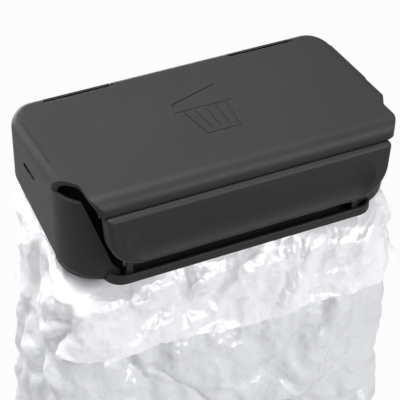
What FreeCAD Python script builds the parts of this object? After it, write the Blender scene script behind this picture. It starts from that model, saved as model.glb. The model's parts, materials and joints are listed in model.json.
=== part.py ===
import FreeCAD, Part
import math
import os
from FreeCAD import Vector

# Hang-on waste-bag bin. Millimetres, +Z up, front towards -Y.
# Origin: centre of the rear mounting face, between the two threaded inserts.

# Driving dimensions
WIDTH = 190.0            # across the side walls
DEPTH = 103.0            # rear face to the front of the lid
HEIGHT = 58.3            # lid top to the underside of the base plate
TOP = 24.0               # lid top above the origin
BODY_DEPTH = 92.0        # rear face to the housing's own front wall
LID_SKIRT = 9.6          # lid top to the lid's lower edge
REAR_DROP = 37.3         # lid top to the housing's lower edge at the rear
EDGE_SLOPE = 0.24        # fall of the housing's lower edge towards the front
LOWER_ROUND = 3.2        # rounding of the housing's lower edge
WALL = 2.2
LID_WALL = 2.0
SEAM = 0.2               # gap between lid and housing
REAR_CORNER = 14.0
FRONT_CORNER = 24.0
LID_FILLET = 8.5
HINGE_INSET = 5.0        # hinge axis below the lid top and in from the rear face
DIVIDER_Y = -62.0        # rear face of the wall between waste chute and bag compartment
LIP_REACH = 3.2          # inward lip at the housing's rim
LIP_THICK = 2.0
BAG_DROP = 272.0         # lid top to the bottom of the hanging liner
LINER_HALF = 109.0       # liner half-width at its widest
RUN_GAP = 0.05           # radial clearance of a turning shaft

HALF = WIDTH / 2
NARROW_HALF = 86.0       # lid half-width in front of the finger scoops
SCOOP_REAR = -69.0
SCOOP_FRONT = -85.0
LID_FRONT_CORNER = 8.0

HINGE_Y = -HINGE_INSET
HINGE_Z = TOP - HINGE_INSET
SLOT_IN, SLOT_OUT = 34.3, 74.2       # ends of a hinge slot in the lid's rear edge
SLOT_FRONT_R = 5.3                   # the slot's front edge is cut to this radius about the hinge axis
SLOT_GAP = 0.7                       # hinge ears stop this far inside the slot's ends
HOOD_WALL = 1.1                      # curved hood of the housing that backs each slot
HOOD_START = 42.0                    # degrees behind straight up where the hood begins
KNUCKLE_R = 2.8
PIN_R = 1.25
EAR_WIDTH = 5.0
SPRING_WIRE_R = 0.35
SPRING_COIL_R = 2.0
SPRING_X0 = 54.9
SPRING_TURNS = 9.0
SPRING_PITCH = 1.3

PANEL_FACE = -106.0                  # compartment front, proud of the lid
PANEL_BACK = -98.0
PANEL_TOP_HALF = 80.6
PANEL_BOTTOM_HALF = 78.0
PANEL_TOP = LID_SKIRT + 0.6          # below the lid top
PANEL_BOTTOM = 42.0
PANEL_CORNER = 19.0
PANEL_EDGE = 3.0                     # rounding round the panel's face
DISH_DEPTH = 3.2                     # hollow in the panel's face
DISH_TOP = 5.0                       # below the panel's top edge
DISH_HIGH = 24.0
DISH_HALF = 71.0

SILL_FRONT = -98.5
SILL_HALF = 77.5
SILL_CORNER = 10.0
SILL_LIP = 5.4                       # height of the sill's raised front edge
SILL_WALL = 1.8
PLATE_THICK = 2.4
BOSS_X, BOSS_YS = 83.0, (-69.0, -79.0)
BOSS_R, BOSS_HEIGHT = 3.4, 18.0
PILOT_R = 1.3
OPENING_TOP_HALF, OPENING_BOTTOM_HALF, OPENING_CORNER = 86.5, 70.5, 14.0
WINDOW_Y, WINDOW_DEPTH = -35.5, 20.0
WINDOW_LONG, WINDOW_HIGH = 16.0, 3.4
PIVOT_Y = -92.0
PIVOT_DOWN = 47.5                    # compartment pivot below the lid top
PIVOT_R = 2.0
CHEEK_IN, CHEEK_OUT = 61.0, 63.0
EAR_IN, EAR_OUT = 63.6, 67.2

ROLL_Y = -81.0
ROLL_DOWN = 32.0
ROLL_R = 13.5
ROLL_HALF = 58.0
CORE_R = 7.0
CORE_WALL = 0.8
SPINDLE_R = 2.5

RING_WALL = 2.2
RING_TOP, RING_BOTTOM = 13.0, 36.0   # below the lid top
RING_HALF = WIDTH / 2 - WALL - 1.8
RING_REAR = -8.0
RING_FRONT = DIVIDER_Y + 1.8
FILM = 0.6
INSERT_X = 60.0
INSERT_R = 2.8
INSERT_BORE_R = 1.65
INSERT_LONG = 5.5


def down(depth):
    """Height of a level given as a depth below the lid top."""
    return TOP - depth


def box(x0, x1, y0, y1, z0, z1):
    return Part.makeBox(x1 - x0, y1 - y0, z1 - z0, Vector(x0, y0, z0))


def rod(centre, axis, radius, length):
    return Part.makeCylinder(radius, length, Vector(*centre), Vector(*axis))


def rod_x(x0, x1, y, z, radius):
    return rod((x0, y, z), (1, 0, 0), radius, x1 - x0)


def mirrored(shape):
    return shape.mirror(Vector(0, 0, 0), Vector(1, 0, 0))


def both_sides(shape):
    return shape.fuse(mirrored(shape))


def rounded_wire(corners, place):
    """Closed wire through (u, v, radius) corners; place turns (u, v) into a 3-D point."""
    count = len(corners)
    ends = []
    for i, (u, v, radius) in enumerate(corners):
        here = Vector(u, v, 0)
        before = Vector(*corners[i - 1][:2], 0) - here
        after = Vector(*corners[(i + 1) % count][:2], 0) - here
        before.normalize()
        after.normalize()
        if radius == 0:
            ends.append((here, here, here))
            continue
        half = before.getAngle(after) / 2
        reach = radius / math.tan(half)
        bisector = before + after
        bisector.normalize()
        middle = here + bisector * (radius / math.sin(half) - radius)
        ends.append((here + before * reach, middle, here + after * reach))
    edges = []
    for i, (start, middle, stop) in enumerate(ends):
        if (stop - start).Length > 1e-6:
            points = [place(p.x, p.y) for p in (start, middle, stop)]
            edges.append(Part.Arc(*points).toShape())
        following = ends[(i + 1) % count][0]
        if (following - stop).Length > 1e-6:
            edges.append(Part.makeLine(place(stop.x, stop.y), place(following.x, following.y)))
    return Part.Wire(edges)


def plan_block(corners, z0, z1):
    wire = rounded_wire(corners, lambda u, v: Vector(u, v, z0))
    return Part.Face(wire).extrude(Vector(0, 0, z1 - z0))


def front_block(corners, y0, y1):
    wire = rounded_wire(corners, lambda u, v: Vector(u, y0, v))
    return Part.Face(wire).extrude(Vector(0, y1 - y0, 0))


def side_block(corners, x0, x1):
    wire = rounded_wire(corners, lambda u, v: Vector(x0, u, v))
    return Part.Face(wire).extrude(Vector(x1 - x0, 0, 0))


def plan_rect(half, rear, front, rear_r, front_r):
    """Corners of a plan rectangle, symmetric in X."""
    return [(-half, rear, rear_r), (half, rear, rear_r), (half, front, front_r), (-half, front, front_r)]


def filleted(shape, picks):
    """Fillets edges; picks is a list of (test, radius at low X end, radius at high X end)."""
    document = FreeCAD.newDocument("fillet")
    base = document.addObject("Part::Feature", "base")
    base.Shape = shape
    rounded = document.addObject("Part::Fillet", "rounded")
    rounded.Base = base
    chosen = []
    for number, edge in enumerate(shape.Edges, 1):
        for test, r_low, r_high in picks:
            if test(edge):
                first = edge.valueAt(edge.FirstParameter).x
                last = edge.valueAt(edge.LastParameter).x
                pair = (r_low, r_high) if first <= last else (r_high, r_low)
                chosen.append((number, *pair))
    rounded.Edges = chosen
    document.recompute()
    result = rounded.Shape.copy()
    FreeCAD.closeDocument(document.Name)
    return result


def at_height(edge, z):
    return all(abs(v.Z - z) < 1e-4 for v in edge.Vertexes)


# ---------------------------------------------------------------- housing

def housing_outline(inset):
    return plan_rect(HALF - inset, -inset, -BODY_DEPTH + inset, REAR_CORNER - inset, FRONT_CORNER - inset)


def hinge_ears():
    """Two ears at each hinge, standing on the rear wall, with the pin's press-fit bores."""
    ears = []
    for x in (SLOT_IN + SLOT_GAP, SLOT_OUT - SLOT_GAP - EAR_WIDTH):
        ear = rod_x(x, x + EAR_WIDTH, HINGE_Y, HINGE_Z, KNUCKLE_R)
        neck = box(x, x + EAR_WIDTH, HINGE_Y - 1.5, HINGE_Y + 2.4, HINGE_Z - HINGE_INSET - 1.0, HINGE_Z)
        foot = box(x, x + EAR_WIDTH, -WALL - 1.0, 0, HINGE_Z - HINGE_INSET - 1.0, HINGE_Z - 2.0)
        ears.append(ear.fuse([neck, foot]))
    ears = ears[0].fuse(ears[1])
    ears = ears.cut(rod_x(0, HALF, HINGE_Y, HINGE_Z, PIN_R))
    return both_sides(ears.fuse(hinge_hood()))


def hinge_hood():
    """Curved hood behind one hinge, about the hinge axis, that closes the lid's slot from the rear."""
    x0, x1 = SLOT_IN + SLOT_GAP, SLOT_OUT - SLOT_GAP
    reach = 2 * HINGE_INSET
    start = math.radians(HOOD_START)
    sector = side_block([
        (HINGE_Y, HINGE_Z, 0), (HINGE_Y + reach * math.sin(start), HINGE_Z + reach * math.cos(start), 0),
        (HINGE_Y + reach, HINGE_Z, 0)], x0, x1)
    hood = rod_x(x0, x1, HINGE_Y, HINGE_Z, HINGE_INSET)
    hood = hood.cut(rod_x(x0 - 1, x1 + 1, HINGE_Y, HINGE_Z, HINGE_INSET - HOOD_WALL)).common(sector)
    return hood.fuse(box(x0, x1, -HOOD_WALL, 0, down(LID_SKIRT + 1.5), HINGE_Z))


def front_opening():
    """Opening in the front wall: wide at the rim, tapering to rounded lower corners."""
    top, bottom = down(LID_SKIRT - 2.0), down(HEIGHT - PLATE_THICK)
    corners = [
        (-OPENING_TOP_HALF, top, 0), (OPENING_TOP_HALF, top, 0),
        (OPENING_BOTTOM_HALF, bottom, OPENING_CORNER), (-OPENING_BOTTOM_HALF, bottom, OPENING_CORNER)]
    return front_block(corners, -BODY_DEPTH - 1, -BODY_DEPTH + FRONT_CORNER / 2)


def side_window():
    """Window in each side wall, through which the ring inside can be seen and pressed."""
    round_end = WINDOW_HIGH / 2 - 0.01
    corners = [
        (WINDOW_Y + along * WINDOW_LONG / 2, down(WINDOW_DEPTH + up * WINDOW_HIGH / 2), round_end)
        for along, up in ((-1, 1), (1, 1), (1, -1), (-1, -1))]
    return both_sides(side_block(corners, HALF - WALL - 1, HALF + 1))


def base_boss_places():
    return [(x, y) for x in (-BOSS_X, BOSS_X) for y in BOSS_YS]


def housing_walls():
    """Side, rear and front walls, with a rounded lower edge that is higher at the rear."""
    rim = down(LID_SKIRT + SEAM)
    lowest = down(REAR_DROP + EDGE_SLOPE * BODY_DEPTH)
    block = plan_block(housing_outline(0), lowest - 2, rim)
    wedge = [
        (1, down(REAR_DROP - EDGE_SLOPE), 0), (-BODY_DEPTH - 1, lowest - EDGE_SLOPE, 0),
        (-BODY_DEPTH - 1, lowest - 5, 0), (1, lowest - 5, 0)]
    block = block.cut(side_block(wedge, -HALF - 1, HALF + 1))
    lower = [e for e in block.Edges if e.BoundBox.ZMax < down(REAR_DROP) + 0.1]
    block = block.makeFillet(LOWER_ROUND, lower)
    return block.cut(plan_block(housing_outline(WALL), lowest - 5, rim + 1))


def rim_lip():
    """Inward lip that stops the bag ring and takes the lid seal."""
    rim = down(LID_SKIRT + SEAM)
    reach = WALL + LIP_REACH
    lip = plan_block(housing_outline(WALL - 0.5), rim - LIP_THICK, rim)
    chute = plan_rect(HALF - reach, -reach, DIVIDER_Y + LIP_REACH, 9, 6)
    lip = lip.cut(plan_block(chute, rim - LIP_THICK - 1, rim + 1))
    return lip.cut(box(-HALF, HALF, -BODY_DEPTH, DIVIDER_Y - 0.1, rim - LIP_THICK - 1, rim + 1))


def sill_room():
    """Room for the sill under the front wall, and for the pivot ears and the heads of their pins."""
    floor = down(HEIGHT)
    slot = box(-SILL_HALF - 0.1, SILL_HALF + 0.1, -BODY_DEPTH - 1, -BODY_DEPTH + WALL + 3,
               floor - 5, floor + PLATE_THICK + 0.1)
    pocket = box(CHEEK_IN - 0.4, EAR_OUT + 2.0, PIVOT_Y - 5, PIVOT_Y + 4.4, floor - 5, down(PIVOT_DOWN) + 4.4)
    return slot.fuse(both_sides(pocket))


def base_boss(x, y):
    """Boss for a base screw, tied to the side wall by a web."""
    foot = down(HEIGHT - PLATE_THICK) + 0.1
    top = down(HEIGHT) + BOSS_HEIGHT
    boss = rod((x, y, foot), (0, 0, 1), BOSS_R, top - foot)
    wall_x = math.copysign(HALF - 1, x)
    web = box(min(x, wall_x), max(x, wall_x), y - 1, y + 1, foot, top)
    inside = plan_block(housing_outline(WALL / 2), foot, top)
    return boss.fuse(web).common(inside).cut(rod((x, y, foot - 1), (0, 0, 1), PILOT_R, BOSS_HEIGHT - 4))


def housing():
    shell = housing_walls().fuse(rim_lip())
    shell = shell.cut(front_opening())
    shell = shell.cut(sill_room())
    shell = shell.cut(side_window())
    # Room behind the hinge axis for the lid's rolled rear edge.
    shell = shell.cut(rod_x(-HALF, HALF, HINGE_Y, HINGE_Z, HINGE_INSET + 0.3))
    shell = shell.fuse(hinge_ears())
    for x, y in base_boss_places():
        shell = shell.fuse(base_boss(x, y))
    for x in (-INSERT_X, INSERT_X):
        boss = rod((x, -WALL + 0.5, 0), (0, -1, 0), 4.6, INSERT_LONG + 0.3 - WALL + 0.5)
        shell = shell.fuse(boss).cut(rod((x, 1, 0), (0, -1, 0), INSERT_R, INSERT_LONG + 1))
    return shell.removeSplitter()


def mount_inserts():
    inserts = []
    for x in (-INSERT_X, INSERT_X):
        sleeve = rod((x, 0, 0), (0, -1, 0), INSERT_R, INSERT_LONG)
        inserts.append(sleeve.cut(rod((x, 1, 0), (0, -1, 0), INSERT_BORE_R, INSERT_LONG + 2)))
    return Part.makeCompound(inserts)


def hinge_pin():
    return rod_x(SLOT_IN + SLOT_GAP, SLOT_OUT - SLOT_GAP, HINGE_Y, HINGE_Z, PIN_R)


def hinge_spring():
    """Torsion spring: a coil round the pin, one leg under the lid and one down the rear wall."""
    helix = Part.makeHelix(SPRING_PITCH, SPRING_TURNS * SPRING_PITCH, SPRING_COIL_R)
    profile = Part.Wire(Part.makeCircle(SPRING_WIRE_R, Vector(SPRING_COIL_R, 0, 0), Vector(0, 1, 0)))
    coil = Part.Wire(helix).makePipeShell([profile], True, True)
    coil.rotate(Vector(0, 0, 0), Vector(0, 1, 0), 90)
    coil.translate(Vector(SPRING_X0, HINGE_Y, HINGE_Z))
    # The coil's start and end both lie under the axis, where the legs leave it.
    low = HINGE_Z - SPRING_COIL_R
    lid_leg = rod((SPRING_X0, HINGE_Y, low), (0, -1, 0.6), SPRING_WIRE_R, 3.6)
    wall_leg = rod((SPRING_X0 + SPRING_TURNS * SPRING_PITCH, HINGE_Y, low), (0, 0.25, -1), SPRING_WIRE_R, 2.2)
    knots = [Part.makeSphere(SPRING_WIRE_R, leg_start) for leg_start in (
        Vector(SPRING_X0, HINGE_Y, low), Vector(SPRING_X0 + SPRING_TURNS * SPRING_PITCH, HINGE_Y, low))]
    return coil.fuse([lid_leg, wall_leg] + knots)


# ---------------------------------------------------------------- base plate and divider

def base_plate():
    floor = down(HEIGHT)
    top = floor + PLATE_THICK
    inner = plan_block(housing_outline(WALL + 0.15), floor, top)
    inner = inner.cut(box(-HALF, HALF, DIVIDER_Y - 0.1, 1, floor - 1, top + 1))
    plate = inner.fuse(sill())
    # Pivot ears for the tilting compartment.
    ear_z = down(PIVOT_DOWN)
    ear = box(EAR_IN, EAR_OUT, PIVOT_Y - 4, PIVOT_Y + 4, floor + 1, ear_z)
    ear = ear.fuse(rod_x(EAR_IN, EAR_OUT, PIVOT_Y, ear_z, 4))
    ear = ear.cut(rod_x(EAR_IN - 1, EAR_OUT + 1, PIVOT_Y, ear_z, PIVOT_R))
    plate = plate.fuse(both_sides(ear))
    for x, y in base_boss_places():
        plate = plate.cut(rod((x, y, floor - 1), (0, 0, 1), 1.6, PLATE_THICK + 2))
        plate = plate.cut(rod((x, y, floor - 0.01), (0, 0, 1), 2.9, 1.21))
    return plate.removeSplitter()


def sill():
    """Ledge under the compartment front: a shallow trough with a raised, rounded front edge."""
    floor = down(HEIGHT)
    rear = -BODY_DEPTH + 6
    slab = plan_block(plan_rect(SILL_HALF, rear, SILL_FRONT, 0, SILL_CORNER), floor, floor + SILL_LIP)
    front_edges = [e for e in slab.Edges if e.BoundBox.YMax < rear - 1 and e.BoundBox.ZLength < 0.01]
    slab = slab.makeFillet(1.0, front_edges)
    trough = plan_block(plan_rect(SILL_HALF - SILL_WALL, rear + 1, SILL_FRONT + SILL_WALL, 0,
                                  SILL_CORNER - SILL_WALL), floor + PLATE_THICK, floor + SILL_LIP + 1)
    behind = box(-HALF, HALF, -BODY_DEPTH - 0.4, 0, floor + PLATE_THICK, floor + SILL_LIP + 1)
    return slab.cut(trough).cut(behind)


def base_screws():
    floor = down(HEIGHT)
    screws = []
    for x, y in base_boss_places():
        head = rod((x, y, floor), (0, 0, 1), 2.8, 1.15)
        shank = rod((x, y, floor + 1.1), (0, 0, 1), 1.25, 10.0)
        recess = box(x - 1.7, x + 1.7, y - 0.35, y + 0.35, floor - 1, floor + 0.7)
        cross = box(x - 0.35, x + 0.35, y - 1.7, y + 1.7, floor - 1, floor + 0.7)
        screws.append(head.fuse(shank).cut(recess.fuse(cross)))
    return Part.makeCompound(screws)


def bay_divider():
    """Wall between the waste chute and the roll compartment."""
    half = HALF - WALL - 0.15
    rim = down(LID_SKIRT + SEAM)
    bottom = down(HEIGHT - PLATE_THICK) + 0.1
    wall = box(-half, half, DIVIDER_Y - 2, DIVIDER_Y, bottom, rim - 2.1)
    foot = box(-half + 18, half - 18, DIVIDER_Y - 5, DIVIDER_Y - 2, bottom, bottom + 1.8)
    return wall.fuse(foot)


def cradle_catch():
    """Spring-steel clip on the divider that holds the cradle's rear rim when it is shut."""
    y = DIVIDER_Y - 2
    z = down(ROLL_DOWN - 4)
    strip = box(-6, 6, y - 0.4, y, z - 12, z + 3)
    nose = rod_x(-6, 6, y - 0.2, z + 1.4, 0.7)
    return strip.fuse(nose.common(box(-7, 7, y - 3, y - 0.2, z - 3, z + 4)))


# ---------------------------------------------------------------- lid

def lid_blank(inset, top, bottom, side_r, rear_r):
    """Cap with a wide side fillet that narrows round the rear corners to the rear edge's fillet."""
    corner = REAR_CORNER - inset
    block = plan_block(plan_rect(HALF - inset, -inset, -DEPTH + inset, corner, 0), bottom, top)
    rear, front, side = -inset, -DEPTH + inset, HALF - inset

    def on_rear(edge):
        return at_height(edge, top) and all(abs(v.Y - rear) < 1e-4 for v in edge.Vertexes)

    def on_front(edge):
        return at_height(edge, top) and all(abs(v.Y - front) < 1e-4 for v in edge.Vertexes)

    def on_side(edge):
        return at_height(edge, top) and all(abs(abs(v.X) - side) < 1e-4 for v in edge.Vertexes)

    def on_left_corner(edge):
        return at_height(edge, top) and edge.Curve.TypeId == "Part::GeomCircle" and edge.CenterOfMass.x < 0

    def on_right_corner(edge):
        return at_height(edge, top) and edge.Curve.TypeId == "Part::GeomCircle" and edge.CenterOfMass.x > 0

    return filleted(block, [
        (on_rear, rear_r, rear_r), (on_front, side_r, side_r),
        (lambda e: on_side(e) and not on_front(e), side_r, side_r),
        (on_left_corner, side_r, rear_r), (on_right_corner, rear_r, side_r)])


def lid_trim():
    """Plan outline of the lid: full width at the rear, a scoop each side, narrower at the front."""
    corners = [
        (-HALF - 5, 5, 0), (HALF + 5, 5, 0), (HALF + 5, SCOOP_REAR + 7, 0), (HALF, SCOOP_REAR, 2),
        (NARROW_HALF, SCOOP_FRONT, 6), (NARROW_HALF, -DEPTH, LID_FRONT_CORNER),
        (-NARROW_HALF, -DEPTH, LID_FRONT_CORNER), (-NARROW_HALF, SCOOP_FRONT, 6),
        (-HALF, SCOOP_REAR, 2), (-HALF - 5, SCOOP_REAR + 7, 0)]
    return plan_block(corners, down(LID_SKIRT + 1), TOP + 1)


def lid():
    bottom = down(LID_SKIRT)
    shell = lid_blank(0, TOP, bottom, LID_FILLET, HINGE_INSET)
    hollow = lid_blank(LID_WALL, TOP - LID_WALL, bottom, LID_FILLET - LID_WALL, HINGE_INSET - LID_WALL)
    shell = shell.cut(hollow)
    # The rear skirt stops at the hinge axis, and a rolled edge about the axis closes the gap below it.
    shell = shell.cut(box(-HALF - 1, HALF + 1, HINGE_Y, 1, bottom - 1, HINGE_Z))
    straight = HALF - REAR_CORNER
    roll = rod_x(-straight, straight, HINGE_Y, HINGE_Z, HINGE_INSET)
    roll = roll.cut(rod_x(-HALF, HALF, HINGE_Y, HINGE_Z, HINGE_INSET - LID_WALL))
    roll = roll.common(box(-HALF, HALF, HINGE_Y + 2.2, 1, HINGE_Z - 4.4, HINGE_Z))
    shell = shell.fuse(roll)
    # Inner frame that carries the seal.
    frame_z = (down(LID_SKIRT - 2.4), TOP - LID_WALL / 2)
    frame = plan_block(seal_outline(0.8), *frame_z).cut(plan_block(seal_outline(-0.8), *frame_z))
    shell = shell.fuse(frame)
    shell = shell.cut(hinge_slots())
    shell = shell.fuse(both_sides(lid_knuckle()))
    shell = shell.common(lid_trim())
    return shell.cut(bin_pictogram()).removeSplitter()


def hinge_slots():
    """Slots in the lid's rear edge; the front edge of each is round about the hinge axis."""
    slot = box(SLOT_IN, SLOT_OUT, HINGE_Y, 1, down(LID_SKIRT + 1), TOP + 1)
    round_front = rod_x(SLOT_IN, SLOT_OUT, HINGE_Y, HINGE_Z, SLOT_FRONT_R)
    through_top = box(SLOT_IN, SLOT_OUT, -HALF, 0, TOP - LID_WALL - 0.1, TOP + 1)
    return both_sides(slot.fuse(round_front.common(through_top)))


def lid_knuckle():
    """Knuckle that turns on the pin, with a web running forward under the lid's top."""
    x0, x1 = SLOT_IN + SLOT_GAP + EAR_WIDTH + 0.3, SPRING_X0 - 1.0
    web = side_block([
        (HINGE_Y, HINGE_Z - KNUCKLE_R, 0), (HINGE_Y, HINGE_Z + 1.2, 0),
        (HINGE_Y - 4.9, TOP - LID_WALL + 0.3, 0),
        (HINGE_Y - 5.7, TOP - LID_WALL + 0.3, 0), (HINGE_Y - 5.7, HINGE_Z - KNUCKLE_R, 0)], x0, x1)
    knuckle = rod_x(x0, x1, HINGE_Y, HINGE_Z, KNUCKLE_R).fuse(web)
    return knuckle.cut(rod_x(x0 - 1, x1 + 1, HINGE_Y, HINGE_Z, PIN_R + RUN_GAP))


def groove(x0, y0, x1, y1, width=1.1, depth=0.45):
    """Straight engraved stroke in the lid top, with round ends."""
    start, stop = Vector(x0, y0, TOP - depth), Vector(x1, y1, TOP - depth)
    along = stop - start
    angle = math.degrees(math.atan2(along.y, along.x))
    stroke = Part.makeBox(along.Length, width, depth + 1, Vector(0, -width / 2, 0))
    stroke = stroke.fuse([Part.makeCylinder(width / 2, depth + 1), Part.makeCylinder(
        width / 2, depth + 1, Vector(along.Length, 0, 0))])
    stroke.rotate(Vector(0, 0, 0), Vector(0, 0, 1), angle)
    stroke.translate(start)
    return stroke


def bin_pictogram():
    """Generic open-bin sign: rim, tapering can with ribs, and a raised lid line."""
    rim_y, foot_y = -46.0, -70.0
    rim_half, can_half, foot_half = 16.5, 12.5, 9.5
    strokes = [groove(-rim_half, rim_y, rim_half, rim_y), groove(-foot_half, foot_y, foot_half, foot_y)]
    for share in (-1.0, -0.5, 0.0, 0.5, 1.0):
        gap = 0.0 if abs(share) == 1.0 else 3.0
        strokes.append(groove(share * can_half, rim_y - gap, share * foot_half, foot_y + gap))
    strokes.append(groove(-14.5, -38.0, 14.0, -28.5))
    strokes.append(groove(-14.5, -38.0, -15.5, -41.5))
    return strokes[0].fuse(strokes[1:])


def seal_outline(grow):
    return plan_rect(HALF - WALL - 1.8 + grow, -12.0 + grow, DIVIDER_Y + 1.6 - grow, 8 + grow, 5 + grow)


def lid_seal():
    z0, z1 = down(LID_SKIRT), down(LID_SKIRT - 2.4) - 0.02
    return plan_block(seal_outline(1.1), z0, z1).cut(plan_block(seal_outline(-1.1), z0, z1))


# ---------------------------------------------------------------- bag ring and liner

def ring_outline(grow):
    return plan_rect(RING_HALF + grow, RING_REAR + grow, RING_FRONT - grow, 9 + grow, 7 + grow)


def bag_ring():
    z0, z1 = down(RING_BOTTOM), down(RING_TOP)
    outer = plan_block(ring_outline(0), z0, z1)
    ring = outer.cut(plan_block(ring_outline(-RING_WALL), z0 - 1, z1 + 1))
    # A grip bar on each long side, low down where fingers can pull the ring out.
    for y in (RING_REAR - RING_WALL, RING_FRONT + RING_WALL):
        inward = -1 if y > -30 else 1
        bar = box(-18, 18, min(y, y + inward * 1.6), max(y, y + inward * 1.6), z0, z0 + 3)
        ring = ring.fuse(bar)
    return ring.removeSplitter()


def section(half, rear, front, radius, z):
    return rounded_wire(plan_rect(half, rear, front, radius, radius), lambda u, v: Vector(u, v, z))


def liner_solid(inset):
    """Filled shape of the hanging liner below the housing, smaller by inset."""
    levels = [
        (RING_HALF - RING_WALL - 0.3, RING_REAR - RING_WALL - 2.0, RING_FRONT + RING_WALL + 2.0, 8,
         HEIGHT + 1.0),
        (98.0, -3.0, -92.0, 24, HEIGHT + 20),
        (104.0, -2.0, -97.0, 28, BAG_DROP * 0.44),
        (LINER_HALF, -2.0, -99.0, 32, BAG_DROP * 0.7),
        (100.0, -8.0, -93.0, 32, BAG_DROP * 0.88),
        (86.0, -22.0, -80.0, 24, BAG_DROP - inset)]
    wires = [section(h - inset, r - inset, f + inset, q - inset, down(depth)) for h, r, f, q, depth in levels]
    return Part.makeLoft(wires, True, True)


def liner_bag():
    """Liner: a fold over the ring's top edge, a wall through the ring, and a hanging tub."""
    top = down(RING_TOP) + 0.2 + FILM
    neck_z = down(HEIGHT + 1.0)
    gap = 0.2
    inner_out = -RING_WALL - gap
    fold = plan_block(ring_outline(gap + FILM), down(RING_BOTTOM), top)
    fold = fold.cut(plan_block(ring_outline(gap), down(RING_BOTTOM) - 1, top - FILM))
    fold = fold.cut(plan_block(ring_outline(inner_out - 1.9), down(RING_BOTTOM) - 1, top + 1))
    throat = plan_block(ring_outline(inner_out - 1.8), neck_z, top)
    throat = throat.cut(plan_block(ring_outline(inner_out - 1.8 - FILM), neck_z - 1, top + 1))
    tub = liner_solid(0).cut(liner_solid(FILM + 0.4))
    opening = plan_block(ring_outline(inner_out - 1.8 - FILM), neck_z - 1.5, neck_z + 1)
    return fold.fuse([throat, tub]).cut(opening).removeSplitter()


# ---------------------------------------------------------------- tilting roll compartment

def panel_dish():
    """Capsule that sinks a smooth, round-bottomed hollow with rounded ends into the panel."""
    radius = (DISH_HIGH ** 2 / 4 + DISH_DEPTH ** 2) / (2 * DISH_DEPTH)
    straight = DISH_HALF - DISH_HIGH / 2
    y = PANEL_FACE + DISH_DEPTH - radius
    z = down(PANEL_TOP + DISH_TOP + DISH_HIGH / 2)
    slant = radius * math.sqrt(0.5)
    ends = [Vector(-straight - radius, y, z), Vector(-straight, y, z + radius),
            Vector(straight, y, z + radius), Vector(straight + radius, y, z)]
    left = Part.Arc(ends[0], Vector(-straight - slant, y, z + slant), ends[1]).toShape()
    right = Part.Arc(ends[2], Vector(straight + slant, y, z + slant), ends[3]).toShape()
    outline = Part.Wire([left, Part.makeLine(ends[1], ends[2]), right, Part.makeLine(ends[3], ends[0])])
    return Part.Face(outline).revolve(Vector(0, y, z), Vector(1, 0, 0), 360)


def compartment_front():
    """Front of the roll compartment, with a rounded edge, a dish and the cradle's screw holes."""
    top, bottom = down(PANEL_TOP), down(PANEL_BOTTOM)
    corners = [
        (-PANEL_TOP_HALF, top, 2.5), (PANEL_TOP_HALF, top, 2.5),
        (PANEL_BOTTOM_HALF, bottom, PANEL_CORNER), (-PANEL_BOTTOM_HALF, bottom, PANEL_CORNER)]
    plate = front_block(corners, PANEL_FACE, PANEL_BACK)
    rim = [e for e in plate.Edges if abs(e.BoundBox.YMax - PANEL_FACE) < 1e-4]
    plate = plate.makeFillet(PANEL_EDGE, rim).cut(panel_dish())
    for x, z in cradle_screw_places():
        plate = plate.cut(rod((x, PANEL_BACK + 1, z), (0, -1, 0), 1.22, 5.6))
    return plate.removeSplitter()


def roll_cradle():
    """Cheeks and trough that carry the bag roll, fixed behind the compartment front."""
    back = PANEL_BACK + 0.05
    z = down(ROLL_DOWN)
    pivot_z = down(PIVOT_DOWN)
    cheek = rod_x(CHEEK_IN, CHEEK_OUT, ROLL_Y, z, 16)
    cheek = cheek.fuse(side_block([
        (back, z + 18, 0), (back + 4, z + 18, 0), (ROLL_Y, z + 16, 0),
        (ROLL_Y + 6, pivot_z + 1.5, 0), (PIVOT_Y + 3, pivot_z - 3.2, 0),
        (PIVOT_Y - 2.5, pivot_z - 3.2, 0), (back, pivot_z + 4.5, 0)], CHEEK_IN, CHEEK_OUT))
    tab = box(CHEEK_OUT, CHEEK_OUT + 11, back, back + 2.0, z + 5, z + 18)
    cheek = cheek.fuse(tab)
    cheek = cheek.cut(rod_x(CHEEK_IN - 1, CHEEK_OUT + 1, PIVOT_Y, pivot_z, PIVOT_R + RUN_GAP))
    cheek = cheek.cut(rod_x(CHEEK_IN - 1, CHEEK_OUT + 1, ROLL_Y, z, SPINDLE_R + RUN_GAP))
    trough = rod_x(-CHEEK_IN, CHEEK_IN, ROLL_Y, z, 16).cut(rod_x(-CHEEK_IN, CHEEK_IN, ROLL_Y, z, 14.6))
    trough = trough.common(box(-CHEEK_IN, CHEEK_IN, ROLL_Y - 9, ROLL_Y + 20, z - 20, z + 4))
    shape = both_sides(cheek).fuse(trough)
    for x, height in cradle_screw_places():
        shape = shape.cut(rod((x, back - 1, height), (0, 1, 0), 1.3, 6))
    return shape.removeSplitter()


def cradle_screw_places():
    z = down(ROLL_DOWN)
    return [(x, z + dz) for x in (-70.5, 70.5) for dz in (8.5, 14.5)]


def cradle_screws():
    """Small pan-head screws through the cradle's tabs into blind holes in the front."""
    tab_rear = PANEL_BACK + 2.05
    screws = []
    for x, z in cradle_screw_places():
        head = rod((x, tab_rear + 0.02, z), (0, 1, 0), 2.3, 1.4)
        shank = rod((x, tab_rear + 0.1, z), (0, -1, 0), 1.2, 4.2)
        slot = box(x - 1.4, x + 1.4, tab_rear + 0.8, tab_rear + 3, z - 0.3, z + 0.3)
        screws.append(head.fuse(shank).cut(slot))
    return Part.makeCompound(screws)


def compartment_pins():
    z = down(PIVOT_DOWN)
    pin = rod_x(CHEEK_IN + 0.2, EAR_OUT, PIVOT_Y, z, PIVOT_R)
    pin = pin.fuse(rod_x(EAR_OUT, EAR_OUT + 1.2, PIVOT_Y, z, 3.2))
    return Part.makeCompound([pin, mirrored(pin)])


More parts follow.
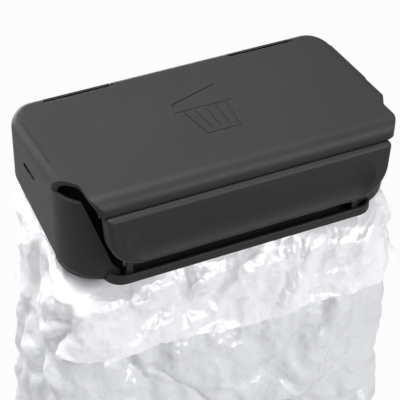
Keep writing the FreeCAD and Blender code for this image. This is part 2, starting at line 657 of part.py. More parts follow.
def bag_roll():
    z = down(ROLL_DOWN)
    body = rod_x(-ROLL_HALF, ROLL_HALF, ROLL_Y, z, ROLL_R)
    # A shallow step where the last turn of film ends.
    body = body.cut(box(-ROLL_HALF - 1, ROLL_HALF + 1, ROLL_Y - 1.2, ROLL_Y + 1.2,
                        z + ROLL_R - 0.3, z + ROLL_R + 1))
    return body.cut(rod_x(-ROLL_HALF - 1, ROLL_HALF + 1, ROLL_Y, z, CORE_R + 0.02))


def roll_core():
    z = down(ROLL_DOWN)
    tube = rod_x(-ROLL_HALF, ROLL_HALF, ROLL_Y, z, CORE_R)
    return tube.cut(rod_x(-ROLL_HALF - 1, ROLL_HALF + 1, ROLL_Y, z, CORE_R - CORE_WALL))


def roll_spindle():
    z = down(ROLL_DOWN)
    return rod_x(-CHEEK_OUT - 0.6, CHEEK_OUT + 0.6, ROLL_Y, z, SPINDLE_R)


def spindle_caps():
    """Hubs that centre the roll's core on the spindle."""
    z = down(ROLL_DOWN)
    plug = rod_x(ROLL_HALF - 7, ROLL_HALF + 0.05, ROLL_Y, z, CORE_R - CORE_WALL - 0.02)
    flange = rod_x(ROLL_HALF + 0.05, ROLL_HALF + 1.6, ROLL_Y, z, 9.5)
    cap = plug.fuse(flange).cut(rod_x(ROLL_HALF - 8, ROLL_HALF + 3, ROLL_Y, z, SPINDLE_R + 0.02))
    return Part.makeCompound([cap, mirrored(cap)])


NODES = {
    "housing": housing,
    "mount_inserts": mount_inserts,
    "hinge_pin_left": lambda: mirrored(hinge_pin()),
    "hinge_pin_right": hinge_pin,
    "hinge_spring_left": lambda: mirrored(hinge_spring()),
    "hinge_spring_right": hinge_spring,
    "base_plate": base_plate,
    "base_screws": base_screws,
    "bay_divider": bay_divider,
    "cradle_catch": cradle_catch,
    "compartment_pins": compartment_pins,
    "lid": lid,
    "lid_seal": lid_seal,
    "bag_ring": bag_ring,
    "liner_bag": liner_bag,
    "compartment_front": compartment_front,
    "roll_cradle": roll_cradle,
    "cradle_screws": cradle_screws,
    "bag_roll": bag_roll,
    "roll_core": roll_core,
    "roll_spindle": roll_spindle,
    "spindle_caps": spindle_caps,
}


os.makedirs("parts", exist_ok=True)
for name, build in NODES.items():
    shape = build()
    print(name, "solids", len(shape.Solids), "valid", shape.isValid(), "volume", round(shape.Volume, 1))
    shape.exportStep("parts/" + name + ".step")
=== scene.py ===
import json
import math

import bpy
import numpy as np
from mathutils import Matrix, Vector, noise


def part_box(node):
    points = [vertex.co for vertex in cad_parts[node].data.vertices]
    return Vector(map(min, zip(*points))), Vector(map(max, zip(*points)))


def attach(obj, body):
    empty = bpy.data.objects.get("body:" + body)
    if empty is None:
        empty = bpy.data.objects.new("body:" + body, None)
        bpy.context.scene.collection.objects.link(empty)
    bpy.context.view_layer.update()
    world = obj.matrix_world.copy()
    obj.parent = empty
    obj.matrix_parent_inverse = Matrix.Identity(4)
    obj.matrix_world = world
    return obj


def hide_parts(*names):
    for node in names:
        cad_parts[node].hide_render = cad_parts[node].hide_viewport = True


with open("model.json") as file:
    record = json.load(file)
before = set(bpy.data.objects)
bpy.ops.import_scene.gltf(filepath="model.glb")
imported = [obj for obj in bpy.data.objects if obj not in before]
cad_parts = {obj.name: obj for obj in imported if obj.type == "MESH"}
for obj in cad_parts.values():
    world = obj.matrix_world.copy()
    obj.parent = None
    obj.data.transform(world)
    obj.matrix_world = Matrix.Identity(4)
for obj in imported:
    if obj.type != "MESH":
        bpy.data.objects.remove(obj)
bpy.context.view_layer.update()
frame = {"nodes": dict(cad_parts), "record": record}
nodes = frame["nodes"]
noise.seed_set(11)       # otherwise the clock seeds noise_vector
MM = 0.001

# Sizes read from the frame
plate_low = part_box("base_plate")[0]
housing_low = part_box("housing")[0]
ring_low, ring_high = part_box("bag_ring")
liner_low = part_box("liner_bag")[0]
divider_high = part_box("bay_divider")[1]
roll_low, roll_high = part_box("bag_roll")
core_low, core_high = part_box("roll_core")
FLOOR_Z = liner_low.z - 4 * MM


# ---------------------------------------------------------------- node helpers

class Shader:
    """Builds a material's node tree; each call adds one node and returns it."""

    def __init__(self, name):
        self.material = bpy.data.materials.new(name)
        self.material.use_nodes = True
        self.tree = self.material.node_tree
        self.tree.nodes.clear()
        self.output = self.add("ShaderNodeOutputMaterial")
        self.place = self.add("ShaderNodeTexCoord").outputs["Object"]

    def add(self, kind, inputs=None, **settings):
        node = self.tree.nodes.new(kind)
        for key, value in settings.items():
            setattr(node, key, value)
        for key, value in (inputs or {}).items():
            if isinstance(value, bpy.types.NodeSocket):
                self.tree.links.new(value, node.inputs[key])
            else:
                node.inputs[key].default_value = value
        return node

    def noise(self, scale, detail=3.0, roughness=0.5, stretch=(1, 1, 1), distortion=0.0):
        mapping = self.add("ShaderNodeMapping", {"Vector": self.place, "Scale": stretch})
        return self.add("ShaderNodeTexNoise", {
            "Vector": mapping.outputs[0], "Scale": scale, "Detail": detail, "Roughness": roughness,
            "Distortion": distortion}).outputs["Fac"]

    def ramp(self, value, stops):
        """Maps value through (position, colour or grey) stops."""
        node = self.add("ShaderNodeValToRGB", {"Fac": value})
        elements = node.color_ramp.elements
        while len(elements) < len(stops):
            elements.new(0.5)
        for element, (position, colour) in zip(elements, stops):
            element.position = position
            element.color = colour if isinstance(colour, tuple) else (colour, colour, colour, 1)
        return node.outputs["Color"]

    def remap(self, value, low, high):
        node = self.add("ShaderNodeMapRange", {"Value": value, "To Min": low, "To Max": high})
        return node.outputs["Result"]

    def math(self, operation, a, b=0.0):
        return self.add("ShaderNodeMath", {0: a, 1: b}, operation=operation).outputs[0]

    def mix_colour(self, factor, a, b, blend="MIX"):
        inputs = {0: factor, 6: a, 7: b}
        return self.add("ShaderNodeMix", inputs, data_type="RGBA", blend_type=blend).outputs[2]

    def bump(self, height, distance, strength=1.0, normal=None):
        inputs = {"Height": height, "Distance": distance, "Strength": strength}
        if normal is not None:
            inputs["Normal"] = normal
        return self.add("ShaderNodeBump", inputs).outputs["Normal"]

    def finish(self, surface):
        self.tree.links.new(surface, self.output.inputs["Surface"])
        return self.material


# ---------------------------------------------------------------- materials

def moulded_plastic(name, dark, light, rough_low, rough_high, grain):
    """Matt moulded plastic: spark-eroded grain, faint flow mottling, and a painted highlight along the
    sharp edges, which are lighter and less rough.
    """
    s = Shader(name)
    rounded = s.add("ShaderNodeBevel", {"Radius": 0.35 * MM}, samples=4).outputs["Normal"]
    sharp = s.add("ShaderNodeNewGeometry").outputs["Normal"]
    facing = s.add("ShaderNodeVectorMath", {0: rounded, 1: sharp}, operation="DOT_PRODUCT").outputs["Value"]
    edge = s.ramp(facing, [(0.80, 1.0), (0.985, 0.0)])
    mottle = s.noise(28, 4, 0.55)
    edge_highlight_breakup = s.noise(160, 5, 0.6)
    colour = s.mix_colour(mottle, (*dark, 1), (*light, 1))
    # Painted highlight: sharp edges are lightened towards 2.6 times the light tone and made less rough, in
    # patches set by noise.
    painted_edge_highlight = s.math("MULTIPLY", edge, s.remap(edge_highlight_breakup, 0.0, 0.55))
    colour = s.mix_colour(painted_edge_highlight, colour, (*[min(1.0, 2.6 * c) for c in light], 1))
    rough = s.remap(s.noise(90, 4, 0.6), rough_low, rough_high)
    rough = s.math("SUBTRACT", rough, s.math("MULTIPLY", painted_edge_highlight, 0.12))
    fine = s.noise(grain, 2, 0.65)
    coarse = s.noise(grain * 0.35, 2, 0.5)
    normal = s.bump(s.math("ADD", fine, coarse), 0.06 * MM, 0.55, rounded)
    body = s.add("ShaderNodeBsdfPrincipled", {
        "Base Color": colour, "Roughness": rough, "Normal": normal, "Specular IOR Level": 0.2})
    return s.finish(body.outputs[0])


def rubber(name):
    s = Shader(name)
    dust = s.noise(220, 5, 0.7)
    colour = s.ramp(dust, [(0.3, (0.012, 0.012, 0.012, 1)), (0.8, (0.035, 0.034, 0.033, 1))])
    normal = s.bump(s.noise(1800, 3, 0.6), 0.08 * MM, 0.5)
    body = s.add("ShaderNodeBsdfPrincipled", {
        "Base Color": colour, "Roughness": s.remap(dust, 0.7, 0.9), "Normal": normal})
    return s.finish(body.outputs[0])


def drawn_metal(name, dark, light, rough_low, rough_high, stretch):
    """Metal with fine lines along one axis, faint stains and a worn polish."""
    s = Shader(name)
    lines = s.noise(2600, 3, 0.6, stretch)
    stain = s.noise(140, 4, 0.6)
    colour = s.mix_colour(s.remap(stain, 0.1, 0.9), (*dark, 1), (*light, 1))
    rough = s.math("ADD", s.remap(lines, rough_low, rough_high), s.math("MULTIPLY", stain, 0.08))
    body = s.add("ShaderNodeBsdfPrincipled", {
        "Base Color": colour, "Metallic": 1.0, "Roughness": rough, "Normal": s.bump(lines, 0.02 * MM, 0.6)})
    return s.finish(body.outputs[0])


def thin_film(name, clear, milk):
    """Crinkled polythene with a sheen on its facets; it is whiter where it lies doubled, at the cuff."""
    s = Shader(name)
    crumple = s.noise(120, 5, 0.62, distortion=0.9)
    warp = s.add("ShaderNodeTexNoise", {"Vector": s.place, "Scale": 60, "Detail": 2}).outputs["Color"]
    bent = s.add("ShaderNodeVectorMath", {0: warp, 3: 0.012}, operation="SCALE").outputs[0]
    bent = s.add("ShaderNodeVectorMath", {0: s.place, 1: bent}, operation="ADD").outputs[0]
    facets = [s.add("ShaderNodeTexVoronoi", {"Vector": bent, "Scale": scale}).outputs["Distance"]
              for scale in (75, 190)]
    height = s.math("ADD", facets[0], s.math("MULTIPLY", facets[1], 0.45))
    height = s.math("ADD", height, s.math("MULTIPLY", crumple, 0.3))
    normal = s.bump(height, 2.0 * MM, 0.7)
    doubled = s.add("ShaderNodeAttribute", attribute_name="doubled").outputs["Fac"]
    cloudy = s.math("MULTIPLY", s.noise(22, 3, 0.5), 0.3)
    tint = s.mix_colour(s.math("ADD", doubled, cloudy), (*milk, 1), (0.95, 0.95, 0.965, 1))
    diffuse = s.add("ShaderNodeBsdfDiffuse", {"Color": tint, "Normal": normal}).outputs[0]
    through = s.add("ShaderNodeBsdfTranslucent", {"Color": tint, "Normal": normal}).outputs[0]
    sheen = s.add("ShaderNodeBsdfGlossy", {
        "Color": (1, 1, 1, 1), "Roughness": s.remap(crumple, 0.26, 0.46), "Normal": normal}).outputs[0]
    window = s.add("ShaderNodeBsdfTransparent", {"Color": (0.99, 0.99, 1.0, 1)}).outputs[0]
    body = s.add("ShaderNodeMixShader", {0: 0.3, 1: diffuse, 2: through}).outputs[0]
    clarity = s.remap(s.noise(35, 3, 0.5), clear * 0.7, clear * 1.3)
    body = s.add("ShaderNodeMixShader", {0: clarity, 1: body, 2: window}).outputs[0]
    facing = s.add("ShaderNodeLayerWeight", {"Blend": 0.4, "Normal": normal}).outputs["Facing"]
    gloss = s.math("ADD", s.math("MULTIPLY", s.math("POWER", facing, 2.0), 0.35), 0.07)
    body = s.add("ShaderNodeMixShader", {0: gloss, 1: body, 2: sheen}).outputs[0]
    return s.finish(body)


def wound_film(name):
    """Roll of film: tight layers on the ends, slack bands and a cloudy surface along the length."""
    s = Shader(name)
    layers = s.noise(900, 3, 0.6, (0.03, 1, 1))
    bands = s.noise(60, 3, 0.6, (1, 0.15, 0.15))
    colour = s.ramp(s.math("ADD", s.math("MULTIPLY", layers, 0.5), s.math("MULTIPLY", bands, 0.5)), [
        (0.3, (0.68, 0.70, 0.73, 1)), (0.7, (0.90, 0.91, 0.93, 1))])
    normal = s.bump(s.math("ADD", layers, s.math("MULTIPLY", bands, 2.0)), 0.25 * MM, 0.6)
    body = s.add("ShaderNodeBsdfPrincipled", {
        "Base Color": colour, "Roughness": s.remap(layers, 0.25, 0.45), "Normal": normal,
        "Subsurface Weight": 0.3, "Subsurface Radius": (0.002, 0.002, 0.002), "Subsurface Scale": 0.5})
    return s.finish(body.outputs[0])


def cardboard(name):
    s = Shader(name)
    fibres = s.noise(700, 5, 0.7, (0.25, 1, 1))
    spiral = s.noise(90, 2, 0.5, (1, 0.4, 0.4))
    colour = s.ramp(s.math("ADD", s.math("MULTIPLY", fibres, 0.6), s.math("MULTIPLY", spiral, 0.4)), [
        (0.3, (0.30, 0.215, 0.135, 1)), (0.7, (0.50, 0.385, 0.26, 1))])
    body = s.add("ShaderNodeBsdfPrincipled", {
        "Base Color": colour, "Roughness": 0.85, "Normal": s.bump(fibres, 0.08 * MM, 0.6)})
    return s.finish(body.outputs[0])


def floor_paper(name):
    """Pale paper; it shows white to the lens and throws less light back up on to the dark plastic."""
    s = Shader(name)
    tooth = s.noise(900, 3, 0.6)
    colour = s.ramp(tooth, [(0.0, (0.90, 0.90, 0.90, 1)), (1.0, (0.94, 0.94, 0.94, 1))])
    seen = s.add("ShaderNodeEmission", {"Color": colour, "Strength": 1.06}).outputs[0]
    dim = s.mix_colour(1.0, colour, (0.42, 0.42, 0.42, 1), "MULTIPLY")
    paper = s.add("ShaderNodeBsdfDiffuse", {"Color": dim}).outputs[0]
    lens = s.add("ShaderNodeLightPath").outputs["Is Camera Ray"]
    return s.finish(s.add("ShaderNodeMixShader", {0: lens, 1: paper, 2: seen}).outputs[0])


MATERIALS = {
    "shell_plastic": moulded_plastic(
        "shell_plastic", (0.012, 0.0115, 0.0125), (0.018, 0.0172, 0.0182), 0.46, 0.58, 3200),
    "ring_plastic": moulded_plastic(
        "ring_plastic", (0.012, 0.012, 0.012), (0.018, 0.018, 0.018), 0.38, 0.5, 2600),
    "seal_rubber": rubber("seal_rubber"),
    "pin_steel": drawn_metal(
        "pin_steel", (0.05, 0.05, 0.052), (0.14, 0.14, 0.145), 0.35, 0.5, (0.04, 1, 1)),
    "screw_steel": drawn_metal(
        "screw_steel", (0.16, 0.16, 0.17), (0.30, 0.30, 0.31), 0.3, 0.45, (1, 1, 0.1)),
    "insert_brass": drawn_metal(
        "insert_brass", (0.50, 0.34, 0.12), (0.74, 0.55, 0.24), 0.24, 0.4, (1, 0.1, 1)),
    "liner_film": thin_film("liner_film", 0.10, (0.66, 0.67, 0.70)),
    "roll_film": wound_film("roll_film"),
    "core_card": cardboard("core_card"),
}


def dress_frame():
    """Gives every carried-over node its slot's material."""
    for part in frame["record"]["subparts"]:
        node = nodes[part["node"]]
        node.data.materials.clear()
        node.data.materials.append(MATERIALS[part["material_slot"]])


def grid_mesh(name, points, closed):
    """Mesh over rows of points; closed joins the last point of each row to its first."""
    rows, across = points.shape[:2]
    last = across if closed else across - 1
    faces = [(i * across + j, i * across + (j + 1) % across, (i + 1) * across + (j + 1) % across,
              (i + 1) * across + j) for i in range(rows - 1) for j in range(last)]
    mesh = bpy.data.meshes.new(name)
    mesh.from_pydata(points.reshape(-1, 3).tolist(), [], faces)
    return mesh


def stand_in(name, mesh, node, body, slot):
    """Shows a mesh in place of a CAD node, carried by a body and finished in a material slot."""
    mesh.materials.append(MATERIALS[slot])
    mesh.shade_smooth()
    piece = bpy.data.objects.new(name, mesh)
    bpy.context.scene.collection.objects.link(piece)
    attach(piece, body)
    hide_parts(node)


# ---------------------------------------------------------------- liner film

# Points round the sheet, and rows of points down its parts
PER_LONG, PER_SHORT, PER_CORNER = 64, 22, 12
AROUND = 2 * (PER_LONG + PER_SHORT) + 4 * PER_CORNER
CUFF_ROWS, SLEEVE_ROWS, BODY_ROWS = 22, 24, 92

# Places of the plastic that the boxes of the nodes don't give
REAR_EDGE_Z = housing_low.z + 22.1 * MM      # housing's lower edge at the rear
EDGE_SLOPE = 0.24                            # fall of that edge towards the front
RING_CORNER = 9 * MM
WINDOW = Vector((0, -35.5, 4.0)) * MM        # middle of the housing's side windows
WINDOW_LONG, WINDOW_HIGH = 10 * MM, 2.6 * MM     # half-sizes of the bulge of film in a window
LONG_EASE, HIGH_EASE = 4 * MM, 1.6 * MM          # and its sloping margins

# Film
CLEAR = 0.6 * MM                             # film to plastic
RIM_INSET = -1.1 * MM                        # from the ring's outer face to the middle of its top
THROAT_INSET = -2.8 * MM                     # and to just inside its inner face
CUFF_OUT = 3.6 * MM                          # cuff outside the body
LEAN = 4 * MM                                # the bag hangs this far to the left
LEAN_DROP = 90 * MM                          # and takes this long to get there
FLARE_LEAST, FLARE_RATE = 2.5 * MM, 0.32     # height over which it swings out from the plastic
CUFF_DEPTH = 43 * MM                         # hem below the base plate
HEM_WAVE, HEM_WAVES = 7 * MM, 22             # height of the hem's waves, and how close they come
CUFF_GAP = 0.9 * MM                          # least gap from body to cuff
CUFF_EASE = 1.5 * MM                         # height over which that gap opens
BULGE = 2.3 * MM                             # of the film into the side windows
DOUBLED = 0.6                                # share of extra white above the hem

# Facets: distance apart, height in millimetres, and how far down they fade in or out
PLEAT_SIZE, SWEEP_SIZE, LOOSE_SIZE, CRUMPLE_SIZE = 14 * MM, 42 * MM, 22 * MM, 12 * MM
PLEAT_HIGH, SWEEP_HIGH, LOOSE_HIGH, CRUMPLE_HIGH = 5.0, 14.0, 5.5, 1.5
FOLD_START, CRUMPLE_START = 9 * MM, 6 * MM
CUFF_FADE, BODY_FADE = 34 * MM, 60 * MM
LEVEL = 0.35                                 # taken off every facet, so that they go both ways

# Cloth run: its length, and how firmly the hem, the cuff's top, the body and the weld are held
SIM_FRAMES = 22
HEM_HOLD, CUFF_HOLD, BODY_HOLD, WELD_HOLD = 0.03, 0.35, 0.05, 0.6
SEED = Vector((3.1, 7.7, 1.9))               # shifts the noise patterns


def loop_table():
    """For each point round the loop: the corners it lies between, its angle and its share of the side."""
    turns = [(1, -1), (1, 1), (-1, 1), (-1, -1)]
    sides = [PER_SHORT, PER_LONG, PER_SHORT, PER_LONG]
    rows = []
    for i, (turn, side) in enumerate(zip(turns, sides)):
        following = turns[(i + 1) % 4]
        start = math.radians(90 * i - 90)
        rows += [(*turn, *turn, start + math.pi / 2 * k / PER_CORNER, 0) for k in range(PER_CORNER)]
        rows += [(*turn, *following, start + math.pi / 2, k / side) for k in range(side)]
    return np.array(rows).T


LOOP = loop_table()


def plan(half, rear, front, radius):
    """Rounded rectangle in plan, as an array whose last two axes are the point round the loop and x, y."""
    ax, ay, bx, by, angle, share = LOOP

    def corner(sx, sy):
        x = sx * (half - radius) + radius * np.cos(angle)
        y = np.where(sy < 0, front + radius, rear - radius) + radius * np.sin(angle)
        return np.stack(np.broadcast_arrays(x, y), axis=-1)

    share = share[:, None]
    return corner(ax, ay) * (1 - share) + corner(bx, by) * share


def ring_plan(grow):
    """Outline of the bag ring's outer face, larger by grow."""
    return plan(ring_high.x + grow, ring_high.y + grow, ring_low.y - grow, RING_CORNER + grow)


# Hanging shape as (depth below the housing, half-width, rear, front, corner radius), given in millimetres
HANG = np.array([
    (-30, 96.5, -2.5, -91.0, 24), (10, 97.5, -2.5, -93.0, 27), (30, 100.0, -2.5, -96.5, 29),
    (65, 105.5, -2.5, -98.5, 32), (135, 109.5, -3.0, -100.0, 34), (170, 106.0, -10, -93.0, 32),
    (197, 99.0, -28, -74.0, 22), (210, 93.5, -45.5, -55.5, 4.6), (212, 92.8, -49.6, -51.4, 0.8),
    (218, 92.5, -49.7, -51.3, 0.7)]) * MM


def hang_plan(z, grow):
    """Outline of the hanging bag at height z, larger by grow."""
    depth = housing_low.z - z
    half, rear, front, radius = [np.interp(depth, HANG[:, 0], HANG[:, k]) for k in range(1, 5)]
    return plan(half + grow, rear + grow / 2, front - grow, radius)


def leave_height(neck):
    """Height at which the film comes clear of the plastic above each point of the loop."""
    below = hang_plan(np.full(AROUND, plate_low.z), 0)
    edge = [np.clip(REAR_EDGE_Z + EDGE_SLOPE * y, housing_low.z, None) for y in (neck[:, 1], below[:, 1])]
    edge = np.minimum(*edge)
    under_plate = neck[:, 1] < divider_high.y + 4 * MM       # the plate reaches back to the divider
    return np.where(under_plate, np.minimum(edge, plate_low.z), edge) - CLEAR


def smooth(t):
    """Eases from 0 to 1 as t goes from 0 to 1."""
    t = np.clip(t, 0, 1)
    return t * t * (3 - 2 * t)


def hanging(inset, grow, foot, count):
    """Rows from where the film leaves the plastic down to foot, flaring to the hanging shape."""
    neck = ring_plan(inset)
    leave = leave_height(neck)
    reach = np.linalg.norm(hang_plan(np.full(AROUND, plate_low.z), grow) - neck, axis=1)
    flare = FLARE_LEAST + FLARE_RATE * reach
    share = np.linspace(0, 1, count)[:, None]
    z = leave + (foot - leave) * share
    blend = smooth((leave - z) / flare)[..., None]
    flat = neck + (hang_plan(z, grow) - neck) * blend
    return np.concatenate([flat, z[..., None]], axis=2)


def straight(inset, starts, stops, count):
    """Rows of film lying against the ring, between two heights."""
    share = np.linspace(0, 1, count)[:, None]
    z = starts + (stops - starts) * share
    flat = np.broadcast_to(ring_plan(inset), (count, AROUND, 2))
    return np.concatenate([flat, z[..., None]], axis=2)


def hem_height():
    """Wavy lower hem of the cuff."""
    around = hang_plan(np.full(AROUND, plate_low.z - 40 * MM), 0)
    wave = [noise.noise(Vector((x * HEM_WAVES, y * HEM_WAVES, 0)) + SEED) for x, y in around]
    return plate_low.z - CUFF_DEPTH + HEM_WAVE * np.array(wave)


def film_sheet():
    """The film as rows from the cuff's hem, up over the ring, down its inside and on to the bottom weld."""
    top = ring_high.z + CLEAR
    leave = leave_height(ring_plan(0))
    cuff = hanging(CLEAR, CUFF_OUT, hem_height(), CUFF_ROWS)[::-1]
    up = straight(CLEAR, leave, np.full(AROUND, top - CLEAR), SLEEVE_ROWS)[1:]
    up[..., 0] += np.sign(up[..., 0]) * window_bulge(up)
    over = straight(RIM_INSET, np.full(AROUND, top), np.full(AROUND, top), 1)
    inside = straight(THROAT_INSET, np.full(AROUND, top - CLEAR), leave, SLEEVE_ROWS)
    body = hanging(THROAT_INSET, 0, np.full(AROUND, liner_low.z), BODY_ROWS)[1:]
    return [cuff, up, over, inside, body]


def window_bulge(sheet):
    """How far the film is pressed out into the side windows."""
    at_side = np.abs(sheet[..., 0]) > ring_high.x
    along = smooth((WINDOW_LONG - np.abs(sheet[..., 1] - WINDOW.y)) / LONG_EASE)
    high = smooth((WINDOW_HIGH - np.abs(sheet[..., 2] - WINDOW.z)) / HIGH_EASE)
    return BULGE * at_side * along * high


def outward(sheet):
    """Unit plan direction pointing out of the loop at every point."""
    along = np.roll(sheet, -1, axis=1) - np.roll(sheet, 1, axis=1)
    normal = np.stack([along[..., 1], -along[..., 0]], axis=-1)
    return normal / np.maximum(np.linalg.norm(normal, axis=-1, keepdims=True), 1e-9)


def facets(point, size):
    """Height between 0 and about 1 of flat facets that meet in sharp creases, size apart."""
    at = point / size + noise.noise_vector(point / size * 0.8) * 0.45
    near = noise.voronoi(at)[0]
    return near[1] - near[0]


def folds(sheet, leave, cuff):
    """Height of the big folds: pleats that fan out from under the plastic and long slanting sweeps."""
    rows = sheet.shape[0]
    drop = np.clip(leave - sheet[..., 2], 0, None)
    grown = np.zeros((rows, AROUND))
    fade = CUFF_FADE if cuff else BODY_FADE
    for j in range(AROUND):
        for i in range(rows):
            d = drop[i, j]
            x, y, z = sheet[i, j]
            point = Vector((x, y, z)) + SEED
            sweep = Vector((x + 0.35 * d, y, d * 0.5)) + SEED
            pleat = facets(Vector((x, y, d * 0.25)) + SEED, PLEAT_SIZE) - LEVEL
            long = facets(sweep, SWEEP_SIZE) - LEVEL
            near = math.exp(-d / fade)
            loose = facets(point, LOOSE_SIZE) - LEVEL
            big = near * pleat * PLEAT_HIGH + (1 - near) * long * SWEEP_HIGH
            grown[i, j] = (big + loose * LOOSE_HIGH) * MM
    return grown * smooth(drop / FOLD_START)


def pin_weights(parts):
    """How firmly each point is held: the sleeve fully, the weld well, the hanging film only lightly."""
    cuff, up, over, inside, body = [part.shape[0] for part in parts]
    hem_to_edge = np.linspace(HEM_HOLD, CUFF_HOLD, cuff) ** 2
    hem_to_edge[-2:] = 1
    body_hold = np.full(body, BODY_HOLD)
    body_hold[:2] = 1
    body_hold[-4:] = WELD_HOLD
    rows = np.concatenate([hem_to_edge, np.ones(up + over + inside), body_hold])
    return np.repeat(rows[:, None], AROUND, axis=1)


def settle(sheet, weights):
    """Cloth run with slightly too much film, so that it buckles into creases; returns the moved points."""
    mesh = grid_mesh("film_cloth", sheet, True)
    film = bpy.data.objects.new("film_cloth", mesh)
    scene = bpy.context.scene
    scene.collection.objects.link(film)
    group = film.vertex_groups.new(name="hold")
    for level in np.unique(weights):
        group.add(np.flatnonzero(weights.ravel() == level).tolist(), float(level), "REPLACE")
    cloth = film.modifiers.new("cloth", "CLOTH")
    s = cloth.settings
    s.quality, s.mass = 5, 0.05
    s.tension_stiffness = s.compression_stiffness = 30
    s.shear_stiffness, s.bending_stiffness = 15, 0.012
    s.tension_damping = s.compression_damping = s.shear_damping = 5
    s.bending_damping = 0.1
    s.vertex_group_mass = "hold"
    s.pin_stiffness = 1.0
    s.shrink_min = -0.03
    s.effector_weights.gravity = 0.15
    s.air_damping = 2.0
    cloth.collision_settings.use_collision = False
    cloth.point_cache.frame_start, cloth.point_cache.frame_end = 1, SIM_FRAMES
    for step in range(1, SIM_FRAMES + 1):
        scene.frame_set(step)
    moved = film.evaluated_get(bpy.context.evaluated_depsgraph_get())
    points = np.zeros(sheet.size)
    moved.data.vertices.foreach_get("co", points)
    scene.frame_set(1)
    bpy.data.objects.remove(film)
    bpy.data.meshes.remove(mesh)
    return points.reshape(sheet.shape)


def crumple(sheet, drop):
    """Small facets left by handling, on top of the settled folds."""
    points = sheet.reshape(-1, 3)
    fine = [facets(Vector(point) + SEED, CRUMPLE_SIZE) - LEVEL for point in points]
    height = np.array(fine).reshape(sheet.shape[:2]) * CRUMPLE_HIGH * MM
    return height * smooth(drop / CRUMPLE_START)


def keep_clear(sheet, out, parts, leave):
    """Keeps loose film off the plastic and rear plane, and the cuff outside the body; adds the lean."""
    cuff_rows, body_rows = parts[0].shape[0], parts[-1].shape[0]
    cuff, body = sheet[:cuff_rows], sheet[-body_rows:]
    for part in (cuff, body):
        part[..., 2] = np.minimum(part[..., 2], leave)
    out = out[:cuff_rows]
    for j in range(AROUND):
        down = -body[:, j, 2]
        under = np.stack([np.interp(-cuff[:, j, 2], down, body[:, j, k]) for k in (0, 1)], axis=1)
        gap = ((cuff[:, j, :2] - under) * out[:, j]).sum(axis=1)
        push = np.clip(CUFF_GAP - gap, 0, None) * smooth((leave[j] - cuff[:, j, 2]) / CUFF_EASE)
        cuff[:, j, :2] += out[:, j] * push[:, None]
    sheet[..., 1] = np.minimum(sheet[..., 1], -CLEAR)
    sheet[..., 0] -= LEAN * smooth((plate_low.z - sheet[..., 2]) / LEAN_DROP)
    return sheet


def liner_film():
    """The liner bag as one crinkled sheet, carried by the ring."""
    parts = film_sheet()
    leave = leave_height(ring_plan(0))
    out = outward(np.concatenate(parts))
    cuff, body = parts[0], parts[-1]
    for part in (cuff, body):
        part[..., :2] += outward(part) * folds(part, leave, part is cuff)[..., None]
    weights = pin_weights(parts)
    sheet = np.concatenate(parts)
    sheet = settle(sheet, weights)
    drop = np.clip(leave - sheet[..., 2], 0, None)
    sheet[..., :2] += out * crumple(sheet, drop)[..., None]
    sheet = keep_clear(sheet, out, parts, leave)
    mesh = grid_mesh("liner_film", sheet, True)
    doubled = DOUBLED * (sheet[..., 2] > sheet[0, :, 2] - 1 * MM)
    mesh.attributes.new("doubled", "FLOAT", "POINT").data.foreach_set("value", doubled.ravel())
    stand_in("liner_film", mesh, "liner_bag", "ring", "liner_film")


# ---------------------------------------------------------------- spare bags

TURNS, PER_TURN, ACROSS = 16, 56, 26
WOUND_CLEAR, WOUND_MARGIN = 0.1 * MM, 0.5 * MM   # core to the first turn, last turn to the roll's size
WOUND_SLACK = 0.45 * MM                          # waviness, growing towards the last turn
WOUND_UNEVEN = 0.8                               # and of the two ends, in millimetres


def wound_roll():
    """The spare bags as one long film wound into a slack spiral with uneven ends."""
    steps = TURNS * PER_TURN
    middle = (roll_low + roll_high) / 2
    core_r = (core_high.z - core_low.z) / 2 + WOUND_CLEAR
    outer_r = (roll_high.z - roll_low.z) / 2
    wound = outer_r - core_r - WOUND_MARGIN
    points = np.zeros((steps, ACROSS, 3))
    for i in range(steps):
        share = i / (steps - 1)
        angle = 2 * math.pi * TURNS * share
        for k in range(ACROSS):
            x = roll_low.x + (roll_high.x - roll_low.x) * k / (ACROSS - 1)
            slack = noise.noise(Vector((x * 40, math.cos(angle) * 1.3, math.sin(angle) * 1.3)) + SEED)
            at_end = k in (0, ACROSS - 1)
            uneven = noise.noise(Vector((angle * 0.9, x * 9, 4.2))) * WOUND_UNEVEN * MM * at_end
            radius = core_r + wound * share + WOUND_SLACK * slack * share
            y = middle.y + radius * math.cos(angle)
            z = middle.z + radius * math.sin(angle)
            points[i, k] = (x + uneven, y, z)
    mesh = grid_mesh("spare_bags", points, False)
    stand_in("spare_bags", mesh, "bag_roll", "roll", "roll_film")


# ---------------------------------------------------------------- stage

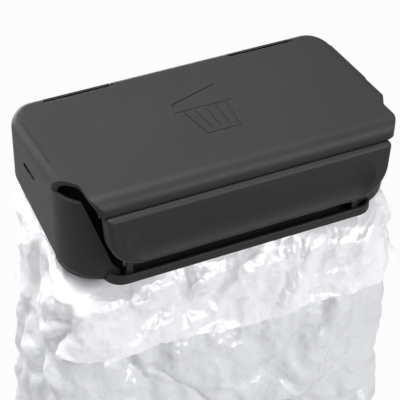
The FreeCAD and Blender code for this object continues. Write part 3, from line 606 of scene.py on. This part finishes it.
def area_light(name, place, aim, size, energy):
    data = bpy.data.lights.new(name, "AREA")
    data.shape = "RECTANGLE"
    data.size, data.size_y = size
    data.energy = energy
    light = bpy.data.objects.new(name, data)
    light.location = place
    light.rotation_euler = (Vector(aim) - Vector(place)).to_track_quat("-Z", "Y").to_euler()
    bpy.context.scene.collection.objects.link(light)


def studio():
    scene = bpy.context.scene
    scene.view_settings.view_transform = "Standard"
    world = bpy.data.worlds.new("studio")
    world.use_nodes = True
    background = world.node_tree.nodes["Background"]
    background.inputs["Color"].default_value = (1.0, 1.0, 1.0, 1)
    background.inputs["Strength"].default_value = 0.20
    scene.world = world
    half = 6.0
    data = bpy.data.meshes.new("studio_floor")
    data.from_pydata([(-half, -half, FLOOR_Z), (half, -half, FLOOR_Z), (half, half, FLOOR_Z),
                      (-half, half, FLOOR_Z)], [], [(0, 1, 2, 3)])
    floor = bpy.data.objects.new("studio_floor", data)
    data.materials.append(floor_paper("floor_paper"))
    scene.collection.objects.link(floor)
    middle = (0, -0.05, 0)
    area_light("top_softbox", (-0.25, 0.15, 1.5), middle, (1.1, 0.9), 56)
    area_light("left_softbox", (-1.0, 0.35, 1.1), middle, (0.6, 0.6), 8)
    area_light("front_softbox", (0.6, -1.3, 0.65), (0, -0.05, -0.2), (0.7, 0.4), 21)
    area_light("rear_softbox", (-0.1, 1.3, -0.05), (0, 0, -0.14), (1.6, 0.5), 22)


def camera():
    """Long lens from the front left, looking down; aimed a little below the head's centre."""
    azimuth, elevation = math.radians(-25.59), math.radians(35.96)
    distance = 0.8503
    back = Vector((math.sin(azimuth) * math.cos(elevation), -math.cos(azimuth) * math.cos(elevation),
                   math.sin(elevation)))
    right = Vector((math.cos(azimuth), math.sin(azimuth), 0))
    up = back.cross(right)
    head = Vector((0, -0.046, -0.006))
    aim = head - right * 2.05 * MM - up * 24.96 * MM
    data = bpy.data.cameras.new("camera")
    data.lens = 142.97
    data.clip_start = 0.02
    view = bpy.data.objects.new("camera", data)
    view.location = aim + back * distance
    view.rotation_euler = (-back).to_track_quat("-Z", "Y").to_euler()
    bpy.context.scene.collection.objects.link(view)
    bpy.context.scene.camera = view


dress_frame()
liner_film()
wound_roll()
studio()
camera()
